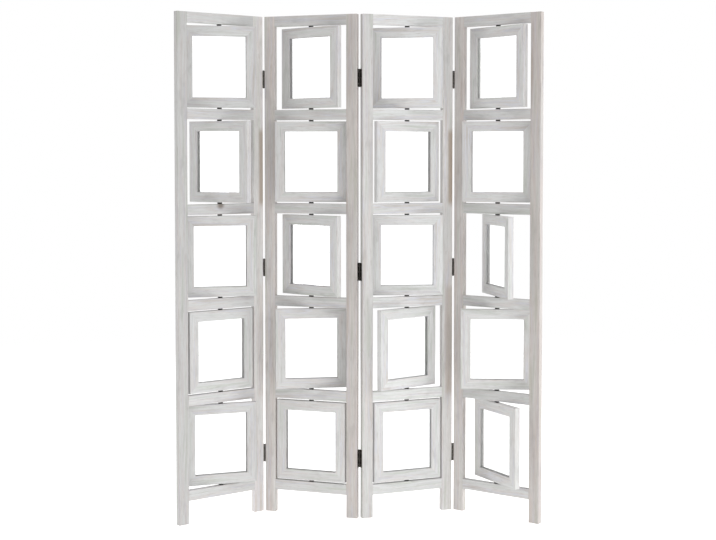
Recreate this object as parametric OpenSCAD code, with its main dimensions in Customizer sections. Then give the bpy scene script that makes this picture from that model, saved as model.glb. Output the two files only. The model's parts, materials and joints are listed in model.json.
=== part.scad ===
// Photo frame room divider: four tall wooden leaves hinged in a zigzag.
// Each leaf carries five picture frames that turn on pivots between its rails.
// The screen stands on the ends of its stiles. Its origin is on the floor, in
// the middle of its plan. X runs from leaf 1 to leaf 4, and the front looks to -Y.
// A leaf's own x runs along its face from its left edge, and its own y from its
// front face to its back. Hinge lines 1-2 and 3-4 lie on the front faces, and
// hinge line 2-3 lies on the back faces.

/* [Screen] */
// Height of the screen
screen_h = 1700; // [1500:10:2000]
// Width of one leaf over its stiles
leaf_w = 334; // [300:1:400]
// Thickness of stiles and rails
leaf_t = 20; // [18:0.5:26]
// Width of a stile's face
stile_w = 38; // [32:1:50]
// Height of a rail's face
rail_h = 35; // [33:1:50]
// Length of leg below the bottom rail
leg_h = 77.5; // [50:0.5:140]
// Size of the bevel that eases the edges of stiles and rails
edge_bevel = 1.2; // [0.5:0.1:2.5]

/* [Rail joints] */
// Length of a rail's stub tenon
tenon_l = 14; // [8:1:24]
// Thickness of the tenon
tenon_t = 7; // [5:0.5:10]
// Shoulder above and below the tenon
tenon_shoulder = 6; // [4:0.5:10]
// Room around the tenon in its mortise
tenon_play = 0.1; // [0.05:0.05:0.3]
// Room past the tenon's end for glue
tenon_end_play = 1; // [0.5:0.5:3]

/* [Stance] */
// Angle from the X axis to leaf 2
leaf_2_angle = -19; // [-45:1:45]
// Angle between the front faces of leaves 1 and 2
angle_12 = 124; // [100:1:170]
// Angle between the back faces of leaves 2 and 3
angle_23 = 139; // [100:1:170]
// Angle between the front faces of leaves 3 and 4
angle_34 = 122; // [100:1:170]

/* [Picture frames] */
// Width of a frame member's face
member_w = 34; // [28:1:40]
// Thickness of a picture frame
frame_t = 20; // [16:0.5:24]
// Gap between a picture frame and the stile beside it
frame_side_gap = 5.5; // [4.5:0.5:10]
// Gap between a picture frame and the rail above or below it
frame_end_gap = 5; // [4:0.5:8]
// Size of the bevel that eases the frame's edges
frame_bevel = 1; // [0.5:0.1:2]
// Width of the glue line in a mitre
glue_line = 0.1; // [0.06:0.02:0.3]

/* [Panes] */
// Thickness of one clear pane
pane_t = 1.5; // [1:0.1:2.5]
// Space for a print between the two panes
print_gap = 1; // [0.5:0.1:2]
// Depth of the groove that holds the panes
groove_depth = 7; // [4:0.5:10]
// Room around the panes in their groove
pane_play = 0.15; // [0.05:0.05:0.5]
// Width of the slot that a print goes in through
slot_w = 1.6; // [1:0.1:3]
// How far the slot runs past the window at each end
slot_lap = 5; // [2:0.5:6]

/* [Pivots] */
// Diameter of a pivot's shank
pivot_d = 5; // [4:0.5:7]
// Diameter of the collar that keeps the frame off the rail
collar_d = 16; // [9:0.5:19]
// Depth of the shank in the rail
shank_in_rail = 13; // [8:1:14]
// Depth of the shank in the picture frame
shank_in_frame = 16; // [8:1:18]
// Radial play of the shank in the frame's bore
pivot_play = 0.06; // [0.02:0.01:0.1]
// Radial room for the glued shank in the rail's bore
shank_fit = 0.03; // [0.02:0.01:0.1]
// Running gap between collar and picture frame
collar_play = 0.3; // [0.2:0.1:0.8]
// Room past the shank's end in each bore
bore_end_play = 1; // [0.5:0.5:2]
// Size of the bevels on a pivot's ends and collar
pivot_bevel = 0.6; // [0.3:0.1:1]

/* [Hinges] */
// Height of the lower hinges' middle above the floor
hinge_low_z = 202; // [150:1:300]
// Height of the middle hinge of line 2-3 above the floor
hinge_mid_z = 836; // [600:1:1100]
// How much higher the middle hinges of lines 1-2 and 3-4 sit
outer_hinge_lift = 7.5; // [0:0.5:20]
// Distance of the upper hinges' middle below the top
hinge_top_drop = 213; // [150:1:300]
// Length of a hinge
hinge_l = 60; // [45:1:80]
// Outer diameter of the knuckles
knuckle_d = 4.6; // [4:0.1:4.8]
// Diameter of the hinge pin
hinge_pin_d = 2.4; // [1.6:0.1:2.8]
// Radial play of the hinge pin
hinge_pin_play = 0.05; // [0.02:0.01:0.1]
// Thickness of a hinge flap
flap_t = 1.2; // [0.8:0.1:1.6]
// Width of a hinge flap on the edge of its stile
flap_w = 14; // [10:0.5:17]
// Gap between the edges of two leaves that stand in line
leaf_gap = 4.6; // [4.6:0.1:7]
// How far the hinge axis stands off the leaves' faces
axis_proud = 1.5; // [1.5:0.1:3]
// Gap between neighbouring knuckles
knuckle_gap = 0.25; // [0.15:0.05:0.5]
// Gap between a flap and the other flap's knuckles
flap_relief = 0.4; // [0.3:0.1:1]
// Diameter of a screw hole in a flap
screw_d = 3.2; // [2.5:0.1:3.5]
// Diameter of the countersink at the flap's open face
countersink_d = 6; // [4.5:0.1:7]
// Depth of the countersink
countersink_h = 0.9; // [0.5:0.1:1.1]
// Size of the bevels at the outer corners of a flap
flap_corner = 1.5; // [0.5:0.5:3]
// Height of the hinge pin's head
pin_head_h = 0.6; // [0.6:0.1:2]
// How far the head's rim stays inside the knuckle
pin_head_inset = 0.2; // [0.1:0.1:0.5]
// Size of the bevel on the head's crown
pin_head_bevel = 0.4; // [0.2:0.1:0.5]

/* [Hidden] */
$fn = 48;
// How far a cut runs past the face that it starts from
CUT = 1;
// Angle between two leaves that stand in line
IN_LINE = 180;

LEAVES = 4;
ROWS = 5;
FLAP_SCREWS = 3;
KNUCKLES = 5;

WOOD_COLOR = "#cfccc8";
FRAME_COLOR = "#d6d4d1";
PANE_COLOR = "#e8eef0";
METAL_COLOR = "#2b2825";

// Turn of each picture frame from its leaf, leaf by leaf from the top row down.
// At 0 it lies flush in its leaf with its print slot at the left.
FRAME_TURN = [
    [-25, -70, -21, 180, -17],
    [-19, -166, -20, -152, 0],
    [-34, -172, -16, -163, 180],
    [-13, -165, -39, -148, -26]
];

// Openings between the rails, and the picture frame that fills each
opening_w = leaf_w - 2 * stile_w;
opening_h = (screen_h - leg_h - (ROWS + 1) * rail_h) / ROWS;
row_pitch = opening_h + rail_h;
frame_w = opening_w - 2 * frame_side_gap;
frame_h = opening_h - 2 * frame_end_gap;
window_w = frame_w - 2 * member_w;
window_h = frame_h - 2 * member_w;
function rail_z(r) = leg_h + r * row_pitch;
function opening_z(row) = leg_h + rail_h + opening_h / 2 + (ROWS - row) * row_pitch;

tenon_h = rail_h - 2 * tenon_shoulder;
groove_w = 2 * pane_t + print_gap + 2 * pane_play;
pane_lap = groove_depth - pane_play;
function hinge_heights(back) = [
    hinge_low_z,
    hinge_mid_z + (back ? 0 : outer_hinge_lift),
    screen_h - hinge_top_drop
];
knuckle_pitch = hinge_l / KNUCKLES;

// Turns of the leaves from the X axis, and the places of their left front edges
leaf_turn = [
    leaf_2_angle + IN_LINE - angle_12,
    leaf_2_angle,
    leaf_2_angle + IN_LINE - angle_23,
    leaf_2_angle - angle_23 + angle_34
];
function spun(p, a) = [p.x * cos(a) - p.y * sin(a), p.x * sin(a) + p.y * cos(a)];
// Hinge axes in a leaf's own plan, at its left and right edge
axis_front_y = -axis_proud;
axis_back_y = leaf_t + axis_proud;
left_axis_x = -leaf_gap / 2;
right_axis_x = leaf_w + leaf_gap / 2;
function next_leaf(from, i, y) =
    from + spun([right_axis_x, y], leaf_turn[i]) - spun([left_axis_x, y], leaf_turn[i + 1]);
chain_1 = [0, 0];
chain_2 = next_leaf(chain_1, 0, axis_front_y);
chain_3 = next_leaf(chain_2, 1, axis_back_y);
chain_4 = next_leaf(chain_3, 2, axis_front_y);
chain = [chain_1, chain_2, chain_3, chain_4];

// Corners of a bevelled bar in plan, for the outline and for the screen's extent
function bar_points(w, t, c) = [
    [c, 0], [w - c, 0], [w, c], [w, t - c],
    [w - c, t], [c, t], [0, t - c], [0, c]
];
function leaf_corners(i) =
    [for (p = bar_points(leaf_w, leaf_t, edge_bevel)) chain[i] + spun(p, leaf_turn[i])];
function frame_corners(i, row) =
    [for (p = bar_points(frame_w, frame_t, frame_bevel))
        chain[i] + spun([leaf_w / 2, leaf_t / 2], leaf_turn[i])
        + spun(p - [frame_w, frame_t] / 2, leaf_turn[i] + FRAME_TURN[i][row - 1])];
plan = concat(
    [for (i = [0 : LEAVES - 1]) for (p = leaf_corners(i)) p],
    [for (i = [0 : LEAVES - 1]) for (row = [1 : ROWS]) for (p = frame_corners(i, row)) p]
);
plan_x = [for (p = plan) p.x];
plan_y = [for (p = plan) p.y];
plan_middle = [min(plan_x) + max(plan_x), min(plan_y) + max(plan_y)] / 2;

// Puts its children in the plan of leaf n, counted from 1
module in_leaf(n) {
    translate(chain[n - 1] - plan_middle)
        rotate(leaf_turn[n - 1])
            children();
}

// Puts its children at the middle of a picture frame, turned with it
module in_frame(n, row) {
    in_leaf(n)
        translate([leaf_w / 2, leaf_t / 2, opening_z(row)])
            rotate(FRAME_TURN[n - 1][row - 1])
                children();
}

// A straight bar along z with bevelled long edges, from the origin
module bar(w, t, l, c) {
    linear_extrude(l)
        polygon(bar_points(w, t, c));
}

// The same bar with its end edges bevelled too
module eased_bar(w, t, l, c) {
    intersection() {
        bar(w, t, l, c);
        translate([0, t, 0])
            rotate([90, 0, 0])
                bar(w, l, t, c);
        rotate([90, 0, 90])
            bar(t, l, w, c);
    }
}

module tenon(extra, end_extra) {
    translate([-tenon_l - end_extra, (leaf_t - tenon_t) / 2 - extra, tenon_shoulder - extra])
        cube([tenon_l + end_extra + CUT, tenon_t + 2 * extra, tenon_h + 2 * extra]);
}

// One stile with a mortise for every rail. Its inner edge is at x = stile_w.
module stile() {
    difference() {
        eased_bar(stile_w, leaf_t, screen_h, edge_bevel);
        for (r = [0 : ROWS])
            translate([stile_w, 0, rail_z(r)])
                tenon(tenon_play, tenon_end_play);
    }
}

module stiles(n) {
    color(WOOD_COLOR)
        in_leaf(n) {
            stile();
            translate([leaf_w, 0, 0])
                mirror([1, 0, 0])
                    stile();
        }
}

// Bore for the glued shank of a pivot, from a rail's face into the rail
module shank_bore() {
    translate([0, 0, -CUT])
        cylinder(r = pivot_d / 2 + shank_fit, h = CUT + shank_in_rail + bore_end_play);
}

// One rail with its tenons. Rail 0 is the bottom rail.
module rail(r) {
    difference() {
        union() {
            rotate([90, 0, 90])
                bar(leaf_t, rail_h, opening_w, edge_bevel);
            tenon(0, 0);
            translate([opening_w, 0, 0])
                mirror([1, 0, 0])
                    tenon(0, 0);
        }
        if (r < ROWS)
            translate([opening_w / 2, leaf_t / 2, rail_h])
                mirror([0, 0, 1])
                    shank_bore();
        if (r > 0)
            translate([opening_w / 2, leaf_t / 2, 0])
                shank_bore();
    }
}

module rails(n) {
    color(WOOD_COLOR)
        in_leaf(n)
            for (r = [0 : ROWS])
                translate([stile_w, 0, rail_z(r)])
                    rail(r);
}

// A turned pivot that stands on a rail: shank in the rail, collar, shank in the frame
module pivot() {
    collar_h = frame_end_gap - collar_play;
    shank_r = pivot_d / 2;
    low = -shank_in_rail;
    high = frame_end_gap + shank_in_frame;
    c = pivot_bevel;
    rotate_extrude()
        polygon([
            [0, low], [shank_r - c, low], [shank_r, low + c],
            [shank_r, 0], [collar_d / 2, 0],
            [collar_d / 2, collar_h - c], [collar_d / 2 - c, collar_h],
            [shank_r, collar_h],
            [shank_r, high - c], [shank_r - c, high], [0, high]
        ]);
}

module pivots(n) {
    color(METAL_COLOR)
        in_leaf(n)
            for (row = [1 : ROWS])
                for (side = [0, 1])
                    translate([leaf_w / 2, leaf_t / 2, opening_z(row)])
                        mirror([0, 0, side])
                            translate([0, 0, -opening_h / 2])
                                pivot();
}

// Section of a frame member: x from its outer edge to the window, y through it
module member_section() {
    half_t = frame_t / 2;
    half_g = groove_w / 2;
    c = frame_bevel;
    polygon([
        [0, c - half_t], [c, -half_t],
        [member_w - c, -half_t], [member_w, c - half_t],
        [member_w, -half_g], [member_w - groove_depth, -half_g],
        [member_w - groove_depth, half_g], [member_w, half_g],
        [member_w, half_t - c], [member_w - c, half_t],
        [c, half_t], [0, half_t - c]
    ]);
}

// One mitred member, l long outside. Its outer edge lies on y = 0 and it runs along x.
module member(l) {
    cut = glue_line / 2 * sqrt(2);
    intersection() {
        translate([-l / 2, 0, 0])
            rotate([90, 0, 90])
                linear_extrude(l)
                    member_section();
        translate([0, 0, -frame_t])
            linear_extrude(2 * frame_t)
                polygon([
                    [cut - l / 2, 0], [l / 2 - cut, 0],
                    [l / 2 - cut - member_w - CUT, member_w + CUT],
                    [cut - l / 2 + member_w + CUT, member_w + CUT]
                ]);
    }
}

// Lays a member drawn by member() into the upright frame, its window edge inwards
module stand_member(angle, reach) {
    rotate([0, angle, 0])
        translate([0, 0, -reach])
            rotate([90, 0, 0])
                children();
}

// Bore in a frame's top or bottom member for the running shank of a pivot
module running_bore() {
    translate([0, 0, -frame_h / 2 - CUT])
        cylinder(
            r = pivot_d / 2 + pivot_play,
            h = CUT + shank_in_frame + collar_play + bore_end_play
        );
}

// The four mitred members of a picture frame, with pivot bores and print slot
module picture_frame(n, row) {
    color(FRAME_COLOR)
        in_frame(n, row) {
            difference() {
                stand_member(0, frame_h / 2)
                    member(frame_w);
                running_bore();
            }
            difference() {
                stand_member(180, frame_h / 2)
                    member(frame_w);
                mirror([0, 0, 1])
                    running_bore();
            }
            stand_member(-90, frame_w / 2)
                member(frame_h);
            difference() {
                stand_member(90, frame_w / 2)
                    member(frame_h);
                translate([-frame_w / 2 - CUT, -slot_w / 2, -window_h / 2 - slot_lap])
                    cube([CUT + member_w, slot_w, window_h + 2 * slot_lap]);
            }
        }
}

// Two clear panes in the groove, with the space for a print between them
module panes(n, row) {
    pane_w = window_w + 2 * pane_lap;
    pane_h = window_h + 2 * pane_lap;
    color(PANE_COLOR)
        in_frame(n, row)
            for (side = [0, 1])
                mirror([0, side, 0])
                    translate([-pane_w / 2, print_gap / 2, -pane_h / 2])
                        cube([pane_w, pane_t, pane_h]);
}

// One flap of a hinge about its axis: the stile's edge is at x = -leaf_gap / 2 and
// the leaf's face at y = axis_proud. Every second knuckle is its own, from first_knuckle.
module hinge_flap(first_knuckle) {
    edge_x = -leaf_gap / 2;
    plate_end = axis_proud + flap_w;
    plate_start = knuckle_d / 2 + flap_relief;
    c = flap_corner;
    difference() {
        union() {
            translate([edge_x, 0, -hinge_l / 2])
                rotate([90, 0, 90])
                    linear_extrude(flap_t)
                        polygon([
                            [plate_start, 0], [plate_end - c, 0], [plate_end, c],
                            [plate_end, hinge_l - c], [plate_end - c, hinge_l],
                            [plate_start, hinge_l]
                        ]);
            for (k = [first_knuckle : 2 : KNUCKLES - 1])
                translate([0, 0, k * knuckle_pitch - hinge_l / 2 + knuckle_gap / 2]) {
                    cylinder(d = knuckle_d, h = knuckle_pitch - knuckle_gap);
                    translate([edge_x, 0, 0])
                        cube([flap_t, plate_start + CUT, knuckle_pitch - knuckle_gap]);
                }
        }
        cylinder(r = hinge_pin_d / 2 + hinge_pin_play, h = hinge_l + 2 * CUT, center = true);
        for (s = [0 : FLAP_SCREWS - 1])
            translate([
                edge_x,
                (plate_start + plate_end) / 2,
                (s - (FLAP_SCREWS - 1) / 2) * hinge_l / FLAP_SCREWS
            ])
                rotate([0, 90, 0]) {
                    translate([0, 0, -CUT])
                        cylinder(d = screw_d, h = flap_t + 2 * CUT);
                    translate([0, 0, flap_t - countersink_h])
                        cylinder(d1 = screw_d, d2 = countersink_d, h = countersink_h);
                    translate([0, 0, flap_t])
                        cylinder(d = countersink_d, h = CUT);
                }
    }
}

// The hinge pin about its axis, with a head at each end
module hinge_pin() {
    head_r = knuckle_d / 2 - pin_head_inset;
    crown_r = head_r - pin_head_bevel;
    pin_r = hinge_pin_d / 2;
    end = (hinge_l - knuckle_gap) / 2;
    top = end + pin_head_h;
    rotate_extrude()
        polygon([
            [0, -top], [crown_r, -top], [head_r, pin_head_bevel - top], [head_r, -end],
            [pin_r, -end], [pin_r, end],
            [head_r, end], [head_r, top - pin_head_bevel], [crown_r, top], [0, top]
        ]);
}

// Puts its children on the hinge axes at the right or left edge of a leaf. At the
// back, the hinge is mirrored so that its flap still runs into the leaf.
module on_right_edge(n, back) {
    in_leaf(n)
        for (z = hinge_heights(back))
            translate([right_axis_x, back ? axis_back_y : axis_front_y, z])
                mirror([0, back ? 1 : 0, 0])
                    children();
}

module on_left_edge(n, back) {
    in_leaf(n)
        for (z = hinge_heights(back))
            translate([left_axis_x, back ? axis_back_y : axis_front_y, z])
                mirror([0, back ? 1 : 0, 0])
                    mirror([1, 0, 0])
                        children();
}

module hinge_flaps_1() {
    color(METAL_COLOR)
        on_right_edge(1, false)
            hinge_flap(1);
}

module hinge_flaps_2() {
    color(METAL_COLOR) {
        on_left_edge(2, false)
            hinge_flap(0);
        on_right_edge(2, true)
            hinge_flap(0);
    }
}

module hinge_flaps_3() {
    color(METAL_COLOR) {
        on_left_edge(3, true)
            hinge_flap(1);
        on_right_edge(3, false)
            hinge_flap(0);
    }
}

module hinge_flaps_4() {
    color(METAL_COLOR)
        on_left_edge(4, false)
            hinge_flap(1);
}

// Leaf 2 keeps the pins of both of its hinge lines
module hinge_pins_2() {
    color(METAL_COLOR) {
        on_left_edge(2, false)
            hinge_pin();
        on_right_edge(2, true)
            hinge_pin();
    }
}

module hinge_pins_3() {
    color(METAL_COLOR)
        on_right_edge(3, false)
            hinge_pin();
}

for (n = [1 : LEAVES]) {
    stiles(n);
    rails(n);
    pivots(n);
    for (row = [1 : ROWS]) {
        picture_frame(n, row);
        panes(n, row);
    }
}
hinge_flaps_1();
hinge_flaps_2();
hinge_flaps_3();
hinge_flaps_4();
hinge_pins_2();
hinge_pins_3();
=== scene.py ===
import json
import math
import random

import bmesh
import bpy
import numpy as np
from mathutils import Matrix, Vector


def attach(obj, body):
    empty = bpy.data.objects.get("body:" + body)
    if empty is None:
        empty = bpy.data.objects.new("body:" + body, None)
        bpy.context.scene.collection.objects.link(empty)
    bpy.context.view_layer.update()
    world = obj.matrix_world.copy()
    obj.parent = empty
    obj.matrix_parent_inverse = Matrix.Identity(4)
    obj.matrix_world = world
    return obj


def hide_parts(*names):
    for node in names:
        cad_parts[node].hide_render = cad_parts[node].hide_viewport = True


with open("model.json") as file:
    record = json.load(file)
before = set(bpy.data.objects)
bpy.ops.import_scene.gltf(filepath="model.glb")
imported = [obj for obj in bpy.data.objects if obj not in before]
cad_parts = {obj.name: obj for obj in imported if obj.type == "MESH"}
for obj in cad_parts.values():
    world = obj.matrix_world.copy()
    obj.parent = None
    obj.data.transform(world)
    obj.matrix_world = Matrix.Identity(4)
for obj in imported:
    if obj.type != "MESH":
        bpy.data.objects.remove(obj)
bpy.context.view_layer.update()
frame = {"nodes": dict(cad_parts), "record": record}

# The screen's own sizes, in mm
MM = 0.001
SCREEN_H = 1700
LEAF_W = 334
LEAF_T = 20
STILE_W = 38
RAIL_H = 35
LEG_H = 77.5
EDGE_ROUND = 2
TENON_L = 14
TENON_T = 7
TENON_SHOULDER = 6
TENON_PLAY = 0.1
TENON_END_PLAY = 1
MEMBER_W = 34
FRAME_T = 20
FRAME_SIDE_GAP = 5.5
FRAME_END_GAP = 5
FRAME_ROUND = 1.7
GLUE_LINE = 0.1
MITRE_EASE = 0.25
GROOVE_W = 4.3
GROOVE_DEPTH = 7
SLOT_W = 1.6
SLOT_LAP = 5
PIVOT_D = 5
PIVOT_PLAY = 0.06
SHANK_IN_RAIL = 13
SHANK_IN_FRAME = 16
BORE_END_PLAY = 1.3
HINGE_HEIGHTS = {"front": (202, 843.5, 1487), "back": (202, 836, 1487)}
HINGE_L = 60
FLAP_T = 1.2
SCREW_INSET = 7.6
SCREWS_IN_FLAP = 3
SCREW_HEAD_D = 5.8
SCREW_HEAD_H = 0.9
SCREW_SHANK_D = 3
SCREW_L = 12
SCREW_RIM_ROUND = 0.12
# The screw's tip as a share of its shank, and the cross recess: its reach as a share of the
# head, half its width and its depth, and how far it narrows towards its floor
SCREW_TIP = 0.3
RECESS_REACH = 0.62
RECESS_HALF_W = 0.42
RECESS_DEPTH = 0.8
RECESS_TAPER = 0.6
# How far a cutting tool runs past the face that it starts from
CUT = 1
# Points closer than this lie in one place
NEAR = 0.01
# A direction counts as an axis's own from this cosine up
SAME_WAY = 0.99

# Brownish painted shade at the outer edge of two stiles, where leaves 1 and 2 and leaves 3 and 4
# fold together: its two stretches, each from and to in mm from the stile's middle, and its
# width, and how strongly they show on a leaf's right stile
CREASE_SHADE_SPANS = ((196, 478, 22), (-460, -60, 32))
CREASE_SHADE_SHARE = {1: (0.9, 0.15), 2: (0, 0), 3: (1, 0.5), 4: (0, 0)}
# A soft dark spot on one rail of leaf 1, near its top face just under the pivot of the frame
# above: which rail, its place from the rail's middle along and across the board, and its half
# size, in mm
DARK_SPOT_LEAF = 1
DARK_SPOT_RAIL = 3
DARK_SPOT_AT = (-3, 13)
DARK_SPOT_SIZE = (20, 19)
# How many boards further the left and right stile of each leaf were taken from, so that their
# light and dark stretches fall as in the photograph
STILE_SKIP = {1: (3, 1), 2: (12, 3), 3: (6, 0), 4: (8, 9)}
# Warmth of the left and right stile of each leaf, and of its rails and picture frames, and the
# range from one picture frame to another
STILE_WARMTH = {1: (0.15, 0.35), 2: (0.7, 0.75), 3: (0.25, 0.35), 4: (0.75, 0.8)}
INNER_WARMTH = {1: 0.05, 2: 0.1, 3: 0, 4: 0.1}
WARMTH_SPREAD = (0.2, 1.8)
# How light the left and right stile of each leaf are painted: partly the wash, partly painted
# light and shade for how the leaf faces the lamps
STILE_TONE_AND_SHADE = {1: (0.80, 1.09), 2: (0.96, 0.84), 3: (0.93, 0.98), 4: (0.91, 0.79)}
# The same for its rails and picture frames, again partly painted light and shade, and the range
# from board to board
RAIL_TONE_AND_SHADE = {1: 0.92, 2: 0.92, 3: 1.06, 4: 0.86}
FRAME_TONE_AND_SHADE = {1: 0.94, 2: 0.96, 3: 1.04, 4: 0.98}
TONE_SPREAD = (0.95, 1.05)

# Camera fitted to the photograph: the photograph's size, how far down it the optical axis
# meets it and the focal length, in pixels, the camera's place in metres and its tilt in degrees
PHOTO_W = 716
PHOTO_H = 540
CAMERA_AXIS_PX = 214
CAMERA_FOCAL_PX = 1381
CAMERA_AT = (-0.0042, -4.6559, 1.2237)
CAMERA_DOWN = 2.381

# Light: how strongly the white room lights, how bright it is to look at and through the
# panes, the glow of the floor, its radius and where it fades into the room, in metres, and
# each softbox's place and size in metres and its watts
ROOM_LIGHT = 0.62
ROOM_SEEN = 1
ROOM_IN_PANES = 1.35
FLOOR_LIGHT = 0.56
FLOOR_RADIUS = 8
FLOOR_FADE = (1.8, 5)
SOFTBOXES = {
    "top_softbox": ((0, 0, 5), 3, 68),
    "key_softbox": ((1.9, -2.4, 1.9), 1.6, 16.5),
    "right_softbox": ((3, -0.3, 1.1), 1.2, 30),
    "left_softbox": ((-3, -0.3, 0.9), 1.2, 12.5),
}

LEAVES = (1, 2, 3, 4)
ROWS = (1, 2, 3, 4, 5)
# Turn of each picture frame from its leaf in degrees, leaf by leaf from the top row down
FRAME_TURN = {
    1: (-25, -70, -21, 180, -17),
    2: (-19, -166, -20, -152, 0),
    3: (-34, -172, -16, -163, 180),
    4: (-13, -165, -39, -148, -26),
}
# The edges of each leaf that carry hinges, and the face that each hinge line lies on
HINGED_EDGES = {
    1: (("right", "front"),),
    2: (("left", "front"), ("right", "back")),
    3: (("left", "back"), ("right", "front")),
    4: (("left", "front"),),
}

OPENING_W = LEAF_W - 2 * STILE_W
OPENING_H = (SCREEN_H - LEG_H - (len(ROWS) + 1) * RAIL_H) / len(ROWS)
ROW_PITCH = OPENING_H + RAIL_H
FRAME_W = OPENING_W - 2 * FRAME_SIDE_GAP
FRAME_H = OPENING_H - 2 * FRAME_END_GAP
WINDOW_H = FRAME_H - 2 * MEMBER_W
MOUNTS = {mount["name"]: mount for mount in frame["record"]["mounts"]}
# Picks each board's own grain and tone and each screw's turn, the same on every run
chance = random.Random(3374)


# ---------- places ----------

def rail_z(r):
    """Height of the lower face of rail r, counted from the bottom rail, 0."""
    return LEG_H + r * ROW_PITCH


def leaf_place(n):
    """Takes leaf n from its own plan, in mm, to where it stands, in metres."""
    left = Vector(MOUNTS[f"foot_{n}_left"]["pos_m"])
    right = Vector(MOUNTS[f"foot_{n}_right"]["pos_m"])
    run = right - left
    turn = Matrix.Rotation(math.atan2(run.y, run.x), 4, "Z")
    foot = Matrix.Translation((-STILE_W / 2, -LEAF_T / 2, 0))
    return Matrix.Translation(left) @ turn @ Matrix.Scale(MM, 4) @ foot


def frame_place(n, row):
    """Takes a picture frame from its own middle, in mm, to its place in leaf n."""
    height = LEG_H + RAIL_H + OPENING_H / 2 + (len(ROWS) - row) * ROW_PITCH
    middle = Matrix.Translation((LEAF_W / 2, LEAF_T / 2, height))
    turn = Matrix.Rotation(math.radians(FRAME_TURN[n][row - 1]), 4, "Z")
    return leaf_place(n) @ middle @ turn


# ---------- bench work ----------

def hold(*pieces):
    """Selects these pieces and nothing else, and makes the first one active."""
    bpy.ops.object.select_all(action="DESELECT")
    for piece in pieces:
        piece.select_set(True)
    bpy.context.view_layer.objects.active = pieces[0]


def block(name, low, high):
    """A squared block between two corners, in mm, left in edit mode."""
    low = Vector(low)
    high = Vector(high)
    bpy.ops.object.select_all(action="DESELECT")
    bpy.ops.mesh.primitive_cube_add(size=1, location=(low + high) / 2, scale=high - low)
    bpy.ops.object.transform_apply(location=True, rotation=False, scale=True)
    made = bpy.context.object
    made.name = name
    bpy.ops.object.mode_set(mode="EDIT")
    return made


def rod(name, radius, low, high, sides=48):
    """A round rod along Z between two heights, in mm, left in edit mode."""
    bpy.ops.object.select_all(action="DESELECT")
    bpy.ops.mesh.primitive_cylinder_add(
        vertices=sides, radius=radius, depth=high - low, location=(0, 0, (low + high) / 2))
    bpy.ops.object.transform_apply(location=True, rotation=False, scale=False)
    made = bpy.context.object
    made.name = name
    bpy.ops.object.mode_set(mode="EDIT")
    return made


def pick(piece, kind, wanted):
    """In edit mode, selects the faces, edges or points for which wanted() holds."""
    bpy.ops.mesh.select_mode(type=kind)
    bpy.ops.mesh.select_all(action="DESELECT")
    mesh = bmesh.from_edit_mesh(piece.data)
    parts = {"FACE": mesh.faces, "EDGE": mesh.edges, "VERT": mesh.verts}[kind]
    for part in parts:
        if wanted(part):
            part.select_set(True)
    bmesh.update_edit_mesh(piece.data)


def runs_along(axis):
    """Says of an edge whether it runs along an axis."""
    return lambda edge: abs((edge.verts[1].co - edge.verts[0].co).normalized()[axis]) > SAME_WAY


def ease(piece, size, wanted, steps=3):
    """Rounds the wanted edges by a size in mm."""
    pick(piece, "EDGE", wanted)
    bpy.ops.mesh.bevel(offset=size, segments=steps, profile=0.5, affect="EDGES")


def saw(point, normal, keep="both"):
    """Saws through the whole piece along a plane. With keep="inner", clears away the side that
    the normal points to."""
    bpy.ops.mesh.select_all(action="SELECT")
    away = keep == "inner"
    bpy.ops.mesh.bisect(plane_co=point, plane_no=normal, clear_outer=away, use_fill=away)


def carve(piece, tool, operation="DIFFERENCE"):
    """Cuts a tool's shape out of a piece, or adds it, and clears the tool away."""
    change = piece.modifiers.new("carve", "BOOLEAN")
    change.operation = operation
    change.object = tool
    change.solver = "EXACT"
    bpy.context.view_layer.objects.active = piece
    bpy.ops.object.modifier_apply(modifier=change.name)
    bpy.data.objects.remove(tool)


def finish_surface(piece, sharp=40):
    """Shades round edges smooth and keeps the flat faces flat."""
    hold(piece)
    bpy.ops.object.shade_smooth_by_angle(angle=math.radians(sharp))
    weigh = piece.modifiers.new("normals", "WEIGHTED_NORMAL")
    weigh.keep_sharp = True
    bpy.ops.object.modifier_apply(modifier=weigh.name)


def mark_grain(board, low, high, axes):
    """Gives every point of a board its place from the board's middle and the board's half size,
    in mm: along, across and through it."""
    points = np.empty(len(board.data.vertices) * 3, np.float32)
    board.data.vertices.foreach_get("co", points)
    low = np.array(low)
    high = np.array(high)
    place = (points.reshape(-1, 3) - (low + high) / 2)[:, axes]
    half = np.tile(((high - low) / 2)[list(axes)], (len(place), 1))
    for name, values in (("in_board", place), ("board_half", half)):
        attribute = board.data.attributes.new(name, "FLOAT_VECTOR", "POINT")
        attribute.data.foreach_set("vector", values.astype(np.float32).ravel())


def copy_board(board, place, warmth, tone, crease_shade=(0, 0), dark_spot=0, skip=0):
    """A copy of a board with a mesh of its own, laid in place, and cut from a part of the tree
    that the seed picks. Its warmth, its tone with painted light and shade, the painted shade of
    the folds between leaves and the dark spot under a pivot are kept on its points."""
    copy = board.copy()
    copy.data = board.data.copy()
    copy.data.transform(place)
    bpy.context.collection.objects.link(copy)
    values = {"board_seed": chance.uniform(0, 100) + skip, "board_warmth": warmth,
              "board_tone_and_shade": tone, "upper_crease_shade": crease_shade[0], "lower_crease_shade": crease_shade[1],
              "dark_spot": dark_spot}
    for name, value in values.items():
        attribute = copy.data.attributes.new(name, "FLOAT", "POINT")
        attribute.data.foreach_set("value", np.full(len(copy.data.vertices), value, np.float32))
    return copy


def join_up(name, pieces, place, material):
    """Joins pieces of one node, puts them in place and gives them their material."""
    hold(*pieces)
    if len(pieces) > 1:
        bpy.ops.object.join()
    made = pieces[0]
    made.name = name
    made.data.name = name
    made.data.transform(place)
    made.data.materials.clear()
    made.data.materials.append(material)
    return made


def dress(piece, body, node):
    """The piece moves with a body and stands for a node of the model, if any."""
    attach(piece, body)
    if node:
        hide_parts(node)


# ---------- boards ----------

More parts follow.
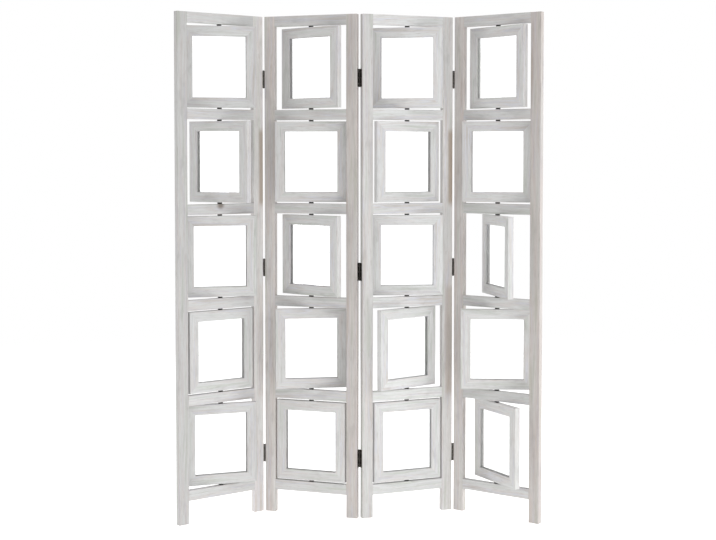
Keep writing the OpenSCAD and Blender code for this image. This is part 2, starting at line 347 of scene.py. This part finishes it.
def tenon_tool(x_low, x_high, z, extra):
    """The block of a tenon, or of its mortise with extra room, for the rail at height z."""
    y = (LEAF_T - TENON_T) / 2 - extra
    tool = block("tenon", (x_low, y, z + TENON_SHOULDER - extra),
                 (x_high, LEAF_T - y, z + RAIL_H - TENON_SHOULDER + extra))
    bpy.ops.object.mode_set(mode="OBJECT")
    return tool


def make_stile():
    """A left stile with a mortise for each rail. Its edges are eased, apart from the
    stretches where a rail meets it flush."""
    low = (0, 0, 0)
    high = (STILE_W, LEAF_T, SCREEN_H)
    board = block("stile", low, high)
    for r in range(len(ROWS) + 1):
        saw((0, 0, rail_z(r)), (0, 0, 1))
        if r < len(ROWS):
            saw((0, 0, rail_z(r) + RAIL_H), (0, 0, 1))

    def free_edge(edge):
        """Says of an edge whether no rail meets it."""
        middle = (edge.verts[0].co + edge.verts[1].co) / 2
        inner = middle.x > STILE_W - NEAR
        at_rail = (middle.z - LEG_H) % ROW_PITCH < RAIL_H + NEAR
        return edge.calc_face_angle() > 1 and not (inner and at_rail)

    ease(board, EDGE_ROUND, free_edge)
    bpy.ops.object.mode_set(mode="OBJECT")
    for r in range(len(ROWS) + 1):
        depth = TENON_L + TENON_END_PLAY
        carve(board, tenon_tool(STILE_W - depth, STILE_W + CUT, rail_z(r), TENON_PLAY))
    finish_surface(board)
    mark_grain(board, low, high, (2, 0, 1))
    return board


def make_rail(r):
    """Rail r with a stub tenon at each end and bores for the pivots that it holds."""
    low = (0, 0, 0)
    high = (OPENING_W, LEAF_T, RAIL_H)
    board = block(f"rail_{r}", low, high)
    ease(board, EDGE_ROUND, runs_along(0))
    bpy.ops.object.mode_set(mode="OBJECT")
    carve(board, tenon_tool(-TENON_L, OPENING_W + TENON_L, 0, 0), "UNION")
    depth = SHANK_IN_RAIL + BORE_END_PLAY
    bores = []
    if r < len(ROWS):
        bores.append((RAIL_H - depth, RAIL_H + CUT))
    if r > 0:
        bores.append((-CUT, depth))
    for bottom, top in bores:
        drill = rod("drill", PIVOT_D / 2 + PIVOT_PLAY, bottom, top)
        bpy.ops.object.mode_set(mode="OBJECT")
        drill.data.transform(Matrix.Translation((OPENING_W / 2, LEAF_T / 2, 0)))
        carve(board, drill)
    finish_surface(board)
    mark_grain(board, low, high, (0, 2, 1))
    return board


def make_member(name, length):
    """A mitred member of a picture frame, its outer edge on z = 0 and its groove upwards."""
    low = (-length / 2, -FRAME_T / 2, 0)
    high = (length / 2, FRAME_T / 2, MEMBER_W)
    board = block(name, low, high)
    ease(board, FRAME_ROUND, runs_along(0))
    for side in (-1, 1):
        saw((0, side * GROOVE_W / 2, 0), (0, 1, 0))
    pick(board, "FACE", lambda face: face.normal.z > SAME_WAY
         and abs(face.calc_center_median().y) < GROOVE_W / 2)
    bpy.ops.mesh.extrude_region_move(TRANSFORM_OT_translate={"value": (0, 0, -GROOVE_DEPTH)})
    tip = length / 2 - GLUE_LINE / 2 * math.sqrt(2)
    for side in (-1, 1):
        saw((side * tip, 0, 0), (side, 0, 1), keep="inner")

    def on_mitre(point):
        """Says of a point whether it lies on the rim of a mitre cut, front or back."""
        on_cut = abs(abs(point.co.x) + point.co.z - tip) < NEAR
        return on_cut and abs(point.co.y) > FRAME_T / 2 - NEAR

    ease(board, MITRE_EASE, lambda edge: all(on_mitre(point) for point in edge.verts), steps=1)
    bpy.ops.object.mode_set(mode="OBJECT")
    return board, low, high


def make_end_member():
    """The bottom or top member of a picture frame, with the bore for its pivot."""
    board, low, high = make_member("end_member", FRAME_W)
    drill = rod("drill", PIVOT_D / 2 + PIVOT_PLAY, -CUT, SHANK_IN_FRAME + BORE_END_PLAY)
    bpy.ops.object.mode_set(mode="OBJECT")
    carve(board, drill)
    finish_surface(board)
    mark_grain(board, low, high, (0, 2, 1))
    return board


def make_side_member(slotted):
    """A side member of a picture frame. One side has the slot for the print."""
    board, low, high = make_member("side_member", FRAME_H)
    if slotted:
        reach = WINDOW_H / 2 + SLOT_LAP
        tool = block("slot", (-reach, -SLOT_W / 2, -CUT),
                     (reach, SLOT_W / 2, MEMBER_W - GROOVE_DEPTH + CUT))
        bpy.ops.object.mode_set(mode="OBJECT")
        carve(board, tool)
    finish_surface(board)
    mark_grain(board, low, high, (0, 2, 1))
    return board


def stood(angle, reach):
    """Stands a member in the upright frame, its groove towards the middle."""
    return Matrix.Rotation(math.radians(angle), 4, "Y") @ Matrix.Translation((0, 0, -reach))


def build_leaf_boards(wood):
    """Stiles and rails of the four leaves."""
    stile = make_stile()
    rails = [make_rail(r) for r in range(len(ROWS) + 1)]
    other_side = Matrix.Translation((LEAF_W, LEAF_T, 0)) @ Matrix.Rotation(math.pi, 4, "Z")
    for n in LEAVES:
        place = leaf_place(n)
        left_warmth, right_warmth = STILE_WARMTH[n]
        left_tone, right_tone = STILE_TONE_AND_SHADE[n]
        left_skip, right_skip = STILE_SKIP[n]
        pair = [copy_board(stile, Matrix(), left_warmth, left_tone, skip=left_skip),
                copy_board(stile, other_side, right_warmth, right_tone, CREASE_SHADE_SHARE[n],
                           skip=right_skip)]
        boards = join_up(f"stile_boards_{n}", pair, place, wood)
        dress(boards, f"leaf_{n}", f"stiles_{n}")
        ladder = [copy_board(rail, Matrix.Translation((STILE_W, 0, rail_z(r))), INNER_WARMTH[n],
                             RAIL_TONE_AND_SHADE[n] * chance.uniform(*TONE_SPREAD),
                             dark_spot=int((n, r) == (DARK_SPOT_LEAF, DARK_SPOT_RAIL)))
                  for r, rail in enumerate(rails)]
        boards = join_up(f"rail_boards_{n}", ladder, place, wood)
        dress(boards, f"leaf_{n}", f"rails_{n}")
    for board in (stile, *rails):
        bpy.data.objects.remove(board)


def build_picture_frames(wood):
    """The four mitred members of each picture frame."""
    end = make_end_member()
    side = make_side_member(False)
    slotted = make_side_member(True)
    for n in LEAVES:
        for row in ROWS:
            warmth = INNER_WARMTH[n] * chance.uniform(*WARMTH_SPREAD)
            members = []
            for member, angle, reach in ((end, 0, FRAME_H / 2), (end, 180, FRAME_H / 2),
                                         (side, -90, FRAME_W / 2), (slotted, 90, FRAME_W / 2)):
                tone = FRAME_TONE_AND_SHADE[n] * chance.uniform(*TONE_SPREAD)
                members.append(copy_board(member, stood(angle, reach), warmth, tone))
            boards = join_up(f"frame_boards_{n}_{row}", members, frame_place(n, row), wood)
            dress(boards, f"frame_{n}_{row}", f"picture_frame_{n}_{row}")
    for board in (end, side, slotted):
        bpy.data.objects.remove(board)


# ---------- screws ----------

def make_screw():
    """A countersunk screw with a cross recess, its head's face on z = 0, upwards."""
    head_r = SCREW_HEAD_D / 2
    screw = rod("screw", head_r, -SCREW_L, 0, sides=32)
    saw((0, 0, -SCREW_HEAD_H), (0, 0, 1))
    pick(screw, "VERT", lambda point: point.co.z < -SCREW_HEAD_H / 2)
    narrow = SCREW_SHANK_D / SCREW_HEAD_D
    bpy.ops.transform.resize(value=(narrow, narrow, 1), center_override=(0, 0, 0))
    pick(screw, "VERT", lambda point: point.co.z < NEAR - SCREW_L)
    bpy.ops.transform.resize(value=(SCREW_TIP, SCREW_TIP, 1), center_override=(0, 0, 0))
    ease(screw, SCREW_RIM_ROUND, lambda edge: all(point.co.z > -NEAR for point in edge.verts),
         steps=2)
    bpy.ops.object.mode_set(mode="OBJECT")
    reach = head_r * RECESS_REACH
    for x, y in ((reach, RECESS_HALF_W), (RECESS_HALF_W, reach)):
        tool = block("driver", (-x, -y, -RECESS_DEPTH), (x, y, CUT))
        pick(tool, "FACE", lambda face: face.normal.z < -SAME_WAY)
        bpy.ops.transform.resize(value=(RECESS_TAPER, RECESS_TAPER, 1),
                                 center_override=(0, 0, -RECESS_DEPTH))
        bpy.ops.object.mode_set(mode="OBJECT")
        carve(screw, tool)
    finish_surface(screw, sharp=30)
    return screw


def build_screws(metal):
    """The screws in the hinge flaps of each leaf, each turned as it came to rest."""
    screw = make_screw()
    for n in LEAVES:
        screws = []
        for edge, face in HINGED_EDGES[n]:
            x = LEAF_W + FLAP_T if edge == "right" else -FLAP_T
            y = SCREW_INSET if face == "front" else LEAF_T - SCREW_INSET
            lie = Matrix.Rotation(math.radians(90 if edge == "right" else -90), 4, "Y")
            for height in HINGE_HEIGHTS[face]:
                for s in range(SCREWS_IN_FLAP):
                    z = height + (s - (SCREWS_IN_FLAP - 1) / 2) * HINGE_L / SCREWS_IN_FLAP
                    turn = Matrix.Rotation(chance.uniform(0, math.pi), 4, "Z")
                    copy = screw.copy()
                    copy.data = screw.data.copy()
                    copy.data.transform(Matrix.Translation((x, y, z)) @ lie @ turn)
                    bpy.context.collection.objects.link(copy)
                    screws.append(copy)
        piece = join_up(f"hinge_screws_{n}", screws, leaf_place(n), metal)
        dress(piece, f"leaf_{n}", None)
    bpy.data.objects.remove(screw)


# ---------- materials ----------

def colour(code):
    """Linear colour of an sRGB hex code."""
    parts = [int(code[i:i + 2], 16) / 255 for i in (1, 3, 5)]
    return [p / 12.92 if p <= 0.04045 else ((p + 0.055) / 1.055) ** 2.4 for p in parts] + [1]


def add(tree, kind, inputs=None, stops=(), **settings):
    """Adds a node with its settings, sets or links its inputs, and sets a ramp's stops."""
    made = tree.nodes.new(kind)
    for name, value in settings.items():
        setattr(made, name, value)
    for name, value in (inputs or {}).items():
        if isinstance(value, bpy.types.Node):
            value = value.outputs[0]
        if isinstance(value, bpy.types.NodeSocket):
            tree.links.new(value, made.inputs[name])
        else:
            made.inputs[name].default_value = value
    for i, (place, code) in enumerate(stops):
        if i >= len(made.color_ramp.elements):
            made.color_ramp.elements.new(place)
        made.color_ramp.elements[i].position = place
        made.color_ramp.elements[i].color = colour(code)
    return made


def new_material(name):
    """A material with its node tree and its Principled shader."""
    material = bpy.data.materials.new(name)
    material.use_nodes = True
    tree = material.node_tree
    return material, tree, tree.nodes["Principled BSDF"]


def streaks(tree, spot, along, across, detail, rough=0.5):
    """Noise drawn out along the grain. Its streaks are about along by across, in mm."""
    drawn = add(tree, "ShaderNodeVectorMath", {0: spot, 1: (1 / along, 1 / across, 1 / across)},
                operation="MULTIPLY")
    return add(tree, "ShaderNodeTexNoise",
               {"Vector": drawn, "Scale": 1, "Detail": detail, "Roughness": rough})


def grain_of_board(tree):
    """Places in the wood of each board, and its growth rings."""
    place = add(tree, "ShaderNodeAttribute", attribute_name="in_board").outputs["Vector"]
    seed = add(tree, "ShaderNodeAttribute", attribute_name="board_seed").outputs["Fac"]
    own = add(tree, "ShaderNodeTexWhiteNoise", {"W": seed}, noise_dimensions="1D")
    # Every board is cut from another part of the tree, and its fibres wander a little
    away = add(tree, "ShaderNodeVectorMath", {0: (970, 610, 390), "Scale": seed},
               operation="SCALE")
    cut = add(tree, "ShaderNodeVectorMath", {0: place, 1: away}, operation="ADD")
    wander = streaks(tree, cut, 240, 40, 1)
    sway = add(tree, "ShaderNodeVectorMath",
               {0: wander.outputs["Color"], 1: (0, 16, 8), 2: (0, -8, -4)},
               operation="MULTIPLY_ADD")
    spot = add(tree, "ShaderNodeVectorMath", {0: cut, 1: sway}, operation="ADD")
    # Growth rings 6 mm apart round a pith some 60 mm away, cut at a slight slant
    ring_mm = 6
    wave_period = 2 * math.pi / 20
    pith = add(tree, "ShaderNodeVectorMath",
               {0: own.outputs["Color"], 1: (0, 80, 30), 2: (0, -40, 45)},
               operation="MULTIPLY_ADD")
    swayed = add(tree, "ShaderNodeVectorMath", {0: place, 1: sway}, operation="ADD")
    slant = add(tree, "ShaderNodeMapping",
                {"Vector": swayed, "Location": pith, "Rotation": (0, 0.02, 0.03)})
    rings = add(tree, "ShaderNodeTexWave",
                {"Vector": slant, "Scale": wave_period / ring_mm, "Distortion": 1.5,
                 "Detail": 1, "Detail Scale": 0.3},
                wave_type="RINGS", rings_direction="X", wave_profile="SAW")
    return place, cut, spot, rings.outputs["Fac"]


def edge_of_board(tree, place, near, far):
    """1 on the board's edges and 0 further off them than far mm: near an edge, the two
    nearest faces both lie close."""
    half = add(tree, "ShaderNodeAttribute", attribute_name="board_half").outputs["Vector"]
    off_middle = add(tree, "ShaderNodeVectorMath", {0: place}, operation="ABSOLUTE")
    depth = add(tree, "ShaderNodeVectorMath", {0: half, 1: off_middle}, operation="SUBTRACT")
    apart = add(tree, "ShaderNodeSeparateXYZ", {0: depth})
    total = add(tree, "ShaderNodeVectorMath", {0: depth, 1: (1, 1, 1)}, operation="DOT_PRODUCT")
    deep = add(tree, "ShaderNodeMath", {0: apart.outputs["X"], 1: apart.outputs["Y"]},
               operation="MAXIMUM")
    deep = add(tree, "ShaderNodeMath", {0: deep, 1: apart.outputs["Z"]}, operation="MAXIMUM")
    off_edge = add(tree, "ShaderNodeMath", {0: total.outputs["Value"], 1: deep},
                   operation="SUBTRACT")
    return add(tree, "ShaderNodeMapRange", {"Value": off_edge, "From Min": near,
               "From Max": far, "To Min": 1, "To Max": 0})


def crease_shade_patch(tree, place):
    """Brownish painted shade at the outer edge of a board, over the given stretches, where it
    lies in the fold between two leaves. It fades over some mm along the board and across it."""
    apart = add(tree, "ShaderNodeSeparateXYZ", {0: place})
    fade_along = 30
    fade_across = 12
    patch = 0
    for name, (low, high, width) in zip(("upper_crease_shade", "lower_crease_shade"), CREASE_SHADE_SPANS):
        off_middle = add(tree, "ShaderNodeMath",
                         {0: apart.outputs["X"], 1: (low + high) / 2}, operation="SUBTRACT")
        off_middle = add(tree, "ShaderNodeMath", {0: off_middle}, operation="ABSOLUTE")
        part = add(tree, "ShaderNodeMapRange",
                   {"Value": off_middle, "From Min": (high - low) / 2 - fade_along,
                    "From Max": (high - low) / 2, "To Min": 1, "To Max": 0},
                   interpolation_type="SMOOTHSTEP")
        inner = width - STILE_W / 2
        outer = add(tree, "ShaderNodeMapRange",
                    {"Value": apart.outputs["Y"], "From Min": inner - fade_across,
                     "From Max": inner, "To Min": 1, "To Max": 0},
                    interpolation_type="SMOOTHSTEP")
        share = add(tree, "ShaderNodeAttribute", attribute_name=name).outputs["Fac"]
        for other in (part, outer):
            share = add(tree, "ShaderNodeMath", {0: share, 1: other}, operation="MULTIPLY")
        patch = add(tree, "ShaderNodeMath", {0: share, 1: patch}, operation="ADD")
    return patch


def dark_spot_mark(tree, place):
    """The dark spot under the pivot: darkest in its middle, fading into the wood around it."""
    shift = add(tree, "ShaderNodeVectorMath", {0: place, 1: (*DARK_SPOT_AT, 0)}, operation="SUBTRACT")
    drawn = add(tree, "ShaderNodeVectorMath",
                {0: shift, 1: (1 / DARK_SPOT_SIZE[0], 1 / DARK_SPOT_SIZE[1], 0)}, operation="MULTIPLY")
    away = add(tree, "ShaderNodeVectorMath", {0: drawn}, operation="LENGTH")
    mark = add(tree, "ShaderNodeMapRange", {"Value": away.outputs["Value"], "From Min": 0.2,
               "From Max": 1, "To Min": 0.9, "To Max": 0}, interpolation_type="SMOOTHSTEP")
    dark_spot = add(tree, "ShaderNodeAttribute", attribute_name="dark_spot").outputs["Fac"]
    return add(tree, "ShaderNodeMath", {0: mark, 1: dark_spot}, operation="MULTIPLY")


def whitewashed_softwood():
    """Light softwood, planed, brushed with a thin grey-white wash and rubbed back. The eye
    gets soft grey streaks along each board, some of them pinkish, lavender or greenish,
    growth rings that show faintly through the wash, open pores, and rubbed edges."""
    material, tree, shader = new_material("whitewashed_softwood")
    place, cut, spot, rings = grain_of_board(tree)
    warm = add(tree, "ShaderNodeAttribute", attribute_name="board_warmth").outputs["Fac"]
    # Each board's tone, with painted light and shade for how its leaf faces the lamps
    light = add(tree, "ShaderNodeAttribute", attribute_name="board_tone_and_shade").outputs["Fac"]

    # Tints that change over a hand's length, and finer streaks from the brush
    tint = add(tree, "ShaderNodeValToRGB", {"Fac": streaks(tree, spot, 260, 12, 1.5)},
               stops=((0.30, "#cacdc8"), (0.40, "#d4d5d4"), (0.48, "#d7d8d8"),
                      (0.56, "#d4d1cf"), (0.62, "#d3d4d9"), (0.70, "#ccc8c5")))
    brushed = streaks(tree, spot, 190, 4.5, 3, 0.6)
    tone = add(tree, "ShaderNodeMapRange", {"Value": brushed, "From Min": 0.3, "From Max": 0.7,
               "To Min": 0.92, "To Max": 1.04})
    shown = add(tree, "ShaderNodeMapRange", {"Value": rings, "To Min": 1.01, "To Max": 0.96})
    # Soft greyer smudges where the wash was wiped thin
    smudges = add(tree, "ShaderNodeMapRange", {"Value": streaks(tree, cut, 70, 22, 2),
                  "From Min": 0.56, "From Max": 0.70, "To Min": 1, "To Max": 0.90})
    for part in (shown, smudges, light):
        tone = add(tree, "ShaderNodeMath", {0: tone, 1: part}, operation="MULTIPLY")
    washed = add(tree, "ShaderNodeVectorMath", {0: tint, "Scale": tone}, operation="SCALE")

    # Warmer wood under the wash, more so in long patches, then brownish painted shade in the
    # folds between leaves at two stiles, and the soft dark spot under a pivot
    patches = add(tree, "ShaderNodeMapRange", {"Value": streaks(tree, spot, 420, 16, 2),
                  "From Min": 0.36, "From Max": 0.62, "To Min": 0.6, "To Max": 1.2})
    warmed = add(tree, "ShaderNodeMath", {0: warm, 1: patches}, operation="MULTIPLY")
    pinkish = add(tree, "ShaderNodeMix", {0: warmed, 6: washed, 7: colour("#fff6f1")},
                  data_type="RGBA", blend_type="MULTIPLY").outputs[2]
    # Painted shade in the folds between leaves, on two stiles
    toned = add(tree, "ShaderNodeMix", {0: crease_shade_patch(tree, place), 6: pinkish,
                                        7: colour("#b3a699")}, data_type="RGBA").outputs[2]
    # A soft dark spot on one rail, just under the pivot of the frame above
    toned = add(tree, "ShaderNodeMix", {0: dark_spot_mark(tree, place), 6: toned,
                                        7: colour("#7f766e")}, data_type="RGBA").outputs[2]

    # Bare wood in the open pores, under a millimetre wide, and where the edges are rubbed
    pores = add(tree, "ShaderNodeMapRange", {"Value": streaks(tree, spot, 30, 0.8, 1),
                "From Min": 0.60, "From Max": 0.72})
    open_pores = add(tree, "ShaderNodeMath", {0: pores, 1: 0.4}, operation="MULTIPLY")
    rubbing = add(tree, "ShaderNodeMapRange", {"Value": streaks(tree, cut, 35, 6, 2),
                  "From Min": 0.45, "From Max": 0.7, "To Max": 0.25})
    rubbed = add(tree, "ShaderNodeMath", {0: edge_of_board(tree, place, 0.6, 2.6), 1: rubbing},
                 operation="MULTIPLY")
    bare = add(tree, "ShaderNodeMath", {0: rubbed, 1: open_pores}, operation="MAXIMUM")
    surface = add(tree, "ShaderNodeMix", {0: bare, 6: toned, 7: colour("#94857a")},
                  data_type="RGBA").outputs[2]

    matt = add(tree, "ShaderNodeMapRange", {"Value": brushed, "From Min": 0.3, "From Max": 0.7,
               "To Min": 0.78, "To Max": 0.64})
    ridges = add(tree, "ShaderNodeMath", {0: brushed, 1: pores}, operation="SUBTRACT")
    bump = add(tree, "ShaderNodeBump", {"Strength": 0.5, "Distance": 0.15 * MM,
                                        "Height": ridges})
    tree.links.new(surface, shader.inputs["Base Color"])
    tree.links.new(matt.outputs[0], shader.inputs["Roughness"])
    tree.links.new(bump.outputs[0], shader.inputs["Normal"])
    shader.inputs["Specular IOR Level"].default_value = 0.35
    return material


def blackened_steel():
    """Rolled steel, blackened and oiled, as on small butt hinges: near black with a soft
    sheen, browner in cloudy patches."""
    material, tree, shader = new_material("blackened_steel")
    spot = add(tree, "ShaderNodeTexCoord").outputs["Object"]
    cloud = add(tree, "ShaderNodeTexNoise", {"Vector": spot, "Scale": 1 / (9 * MM), "Detail": 3})
    grit = add(tree, "ShaderNodeTexNoise", {"Vector": spot, "Scale": 1 / (0.8 * MM), "Detail": 2})
    base = add(tree, "ShaderNodeValToRGB", {"Fac": cloud},
               stops=((0.35, "#504d4a"), (0.65, "#6a6662")))
    satin = add(tree, "ShaderNodeMapRange", {"Value": cloud, "To Min": 0.36, "To Max": 0.56})
    bump = add(tree, "ShaderNodeBump", {"Strength": 0.3, "Distance": 0.05 * MM, "Height": grit})
    tree.links.new(base.outputs[0], shader.inputs["Base Color"])
    tree.links.new(satin.outputs[0], shader.inputs["Roughness"])
    tree.links.new(bump.outputs[0], shader.inputs["Normal"])
    shader.inputs["Metallic"].default_value = 1
    return material


def steel_screws():
    """Bright zinc-plated steel screws: light specks on the dark hinges."""
    material, tree, shader = new_material("zinc_plated_steel")
    spot = add(tree, "ShaderNodeTexCoord").outputs["Object"]
    cloud = add(tree, "ShaderNodeTexNoise", {"Vector": spot, "Scale": 1 / (2 * MM), "Detail": 2})
    base = add(tree, "ShaderNodeValToRGB", {"Fac": cloud},
               stops=((0.35, "#8d8880"), (0.65, "#aaa69f")))
    satin = add(tree, "ShaderNodeMapRange", {"Value": cloud, "To Min": 0.28, "To Max": 0.44})
    tree.links.new(base.outputs[0], shader.inputs["Base Color"])
    tree.links.new(satin.outputs[0], shader.inputs["Roughness"])
    shader.inputs["Metallic"].default_value = 1
    return material


def black_enamel():
    """Turned steel pivots dipped in black enamel: dark and satin, with a faint orange peel."""
    material, tree, shader = new_material("black_enamel")
    spot = add(tree, "ShaderNodeTexCoord").outputs["Object"]
    peel = add(tree, "ShaderNodeTexNoise", {"Vector": spot, "Scale": 1 / (1.2 * MM), "Detail": 1})
    base = add(tree, "ShaderNodeValToRGB", {"Fac": peel},
               stops=((0.3, "#211e1c"), (0.7, "#2f2b28")))
    satin = add(tree, "ShaderNodeMapRange", {"Value": peel, "To Min": 0.38, "To Max": 0.5})
    bump = add(tree, "ShaderNodeBump", {"Strength": 0.3, "Distance": 0.05 * MM, "Height": peel})
    tree.links.new(base.outputs[0], shader.inputs["Base Color"])
    tree.links.new(satin.outputs[0], shader.inputs["Roughness"])
    tree.links.new(bump.outputs[0], shader.inputs["Normal"])
    return material


def clear_acrylic():
    """Extruded acrylic sheet, clear and polished. Face on it hardly shows, and at a slant it
    mirrors the room a little, with the faint waves of extruded sheet."""
    material, tree, shader = new_material("clear_acrylic")
    spot = add(tree, "ShaderNodeTexCoord").outputs["Object"]
    drawn = add(tree, "ShaderNodeMapping", {"Vector": spot, "Scale": (1, 1, 0.15)})
    waves = add(tree, "ShaderNodeTexNoise", {"Vector": drawn, "Scale": 1 / (25 * MM), "Detail": 1})
    base = add(tree, "ShaderNodeValToRGB", {"Fac": waves},
               stops=((0.3, "#fdfefe"), (0.7, "#ffffff")))
    bump = add(tree, "ShaderNodeBump", {"Strength": 0.03, "Distance": 0.02 * MM, "Height": waves})
    tree.links.new(base.outputs[0], shader.inputs["Base Color"])
    tree.links.new(bump.outputs[0], shader.inputs["Normal"])
    shader.inputs["Roughness"].default_value = 0
    shader.inputs["IOR"].default_value = 1.49
    shader.inputs["Transmission Weight"].default_value = 1
    return material


def paint_nodes(names, material):
    """Gives nodes of the model their material."""
    for name in names:
        for place in frame["nodes"][name].material_slots:
            place.material = material


# ---------- stage, camera and light ----------

def seamless_floor():
    """Opal acrylic lit from below, matt, as under goods photographed on white. It fades into
    the white room around it and lifts the shadows."""
    material, tree, shader = new_material("white_studio_floor")
    spot = add(tree, "ShaderNodeTexCoord").outputs["Object"]
    mottle = add(tree, "ShaderNodeTexNoise", {"Vector": spot, "Scale": 3, "Detail": 2})
    base = add(tree, "ShaderNodeValToRGB", {"Fac": mottle},
               stops=((0.3, "#f6f6f5"), (0.7, "#fafaf9")))
    away = add(tree, "ShaderNodeVectorMath", {0: spot}, operation="LENGTH")
    fade = add(tree, "ShaderNodeMapRange",
               {"Value": away.outputs["Value"], "From Min": FLOOR_FADE[0],
                "From Max": FLOOR_FADE[1], "To Min": 1, "To Max": 0},
               interpolation_type="SMOOTHSTEP")
    tree.links.new(base.outputs[0], shader.inputs["Base Color"])
    tree.links.new(fade.outputs[0], shader.inputs["Alpha"])
    shader.inputs["Emission Color"].default_value = colour("#ffffff")
    shader.inputs["Emission Strength"].default_value = FLOOR_LIGHT
    shader.inputs["Roughness"].default_value = 0.9
    shader.inputs["Specular IOR Level"].default_value = 0.1
    return material


def build_floor():
    """A round floor, wide enough for its rim to be out of sight."""
    bpy.ops.object.select_all(action="DESELECT")
    bpy.ops.mesh.primitive_circle_add(vertices=96, radius=FLOOR_RADIUS, fill_type="NGON")
    floor = bpy.context.object
    floor.name = "studio_floor"
    floor.data.materials.append(seamless_floor())


def build_camera():
    """The photograph's view: a little above the screen's middle, tilted down a little, with
    the picture shifted as far as the screen's height leaves room for in other views."""
    data = bpy.data.cameras.new("camera")
    data.sensor_width = 36
    data.lens = CAMERA_FOCAL_PX / PHOTO_W * data.sensor_width
    data.shift_y = (CAMERA_AXIS_PX - PHOTO_H / 2) / PHOTO_W
    camera = bpy.data.objects.new("camera", data)
    camera.location = CAMERA_AT
    camera.rotation_euler = (math.radians(90 - CAMERA_DOWN), 0, 0)
    bpy.context.collection.objects.link(camera)
    bpy.context.scene.camera = camera


def add_softbox(name, at, aim, size, power):
    """A square softbox that looks at a point."""
    data = bpy.data.lights.new(name, "AREA")
    data.size = size
    data.energy = power
    light = bpy.data.objects.new(name, data)
    light.visible_camera = False
    light.location = at
    light.rotation_euler = (Vector(aim) - Vector(at)).to_track_quat("-Z", "Y").to_euler()
    bpy.context.collection.objects.link(light)


def build_light():
    """A white room with soft light from above and both sides, as in the photograph. The room
    is brighter to look at than it lights, as a backdrop with lamps of its own is."""
    world = bpy.data.worlds.new("white_room")
    bpy.context.scene.world = world
    world.use_nodes = True
    tree = world.node_tree
    back = tree.nodes["Background"]
    back.inputs["Color"].default_value = colour("#ffffff")
    ray = add(tree, "ShaderNodeLightPath")
    strength = ROOM_LIGHT
    for kind, seen in (("Is Singular Ray", ROOM_IN_PANES), ("Is Camera Ray", ROOM_SEEN)):
        strength = add(tree, "ShaderNodeMix", {0: ray.outputs[kind], 2: strength, 3: seen})
    tree.links.new(strength.outputs[0], back.inputs["Strength"])
    middle = (0, 0, SCREEN_H * MM / 2)
    for name, (at, size, power) in SOFTBOXES.items():
        add_softbox(name, at, middle, size, power)
    bpy.context.scene.view_settings.view_transform = "Standard"


wood = whitewashed_softwood()
build_leaf_boards(wood)
build_picture_frames(wood)
build_screws(steel_screws())
paint_nodes([f"panes_{n}_{row}" for n in LEAVES for row in ROWS], clear_acrylic())
paint_nodes([f"pivots_{n}" for n in LEAVES], black_enamel())
paint_nodes([f"hinge_flaps_{n}" for n in LEAVES] + ["hinge_pins_2", "hinge_pins_3"],
            blackened_steel())
build_floor()
build_camera()
build_light()
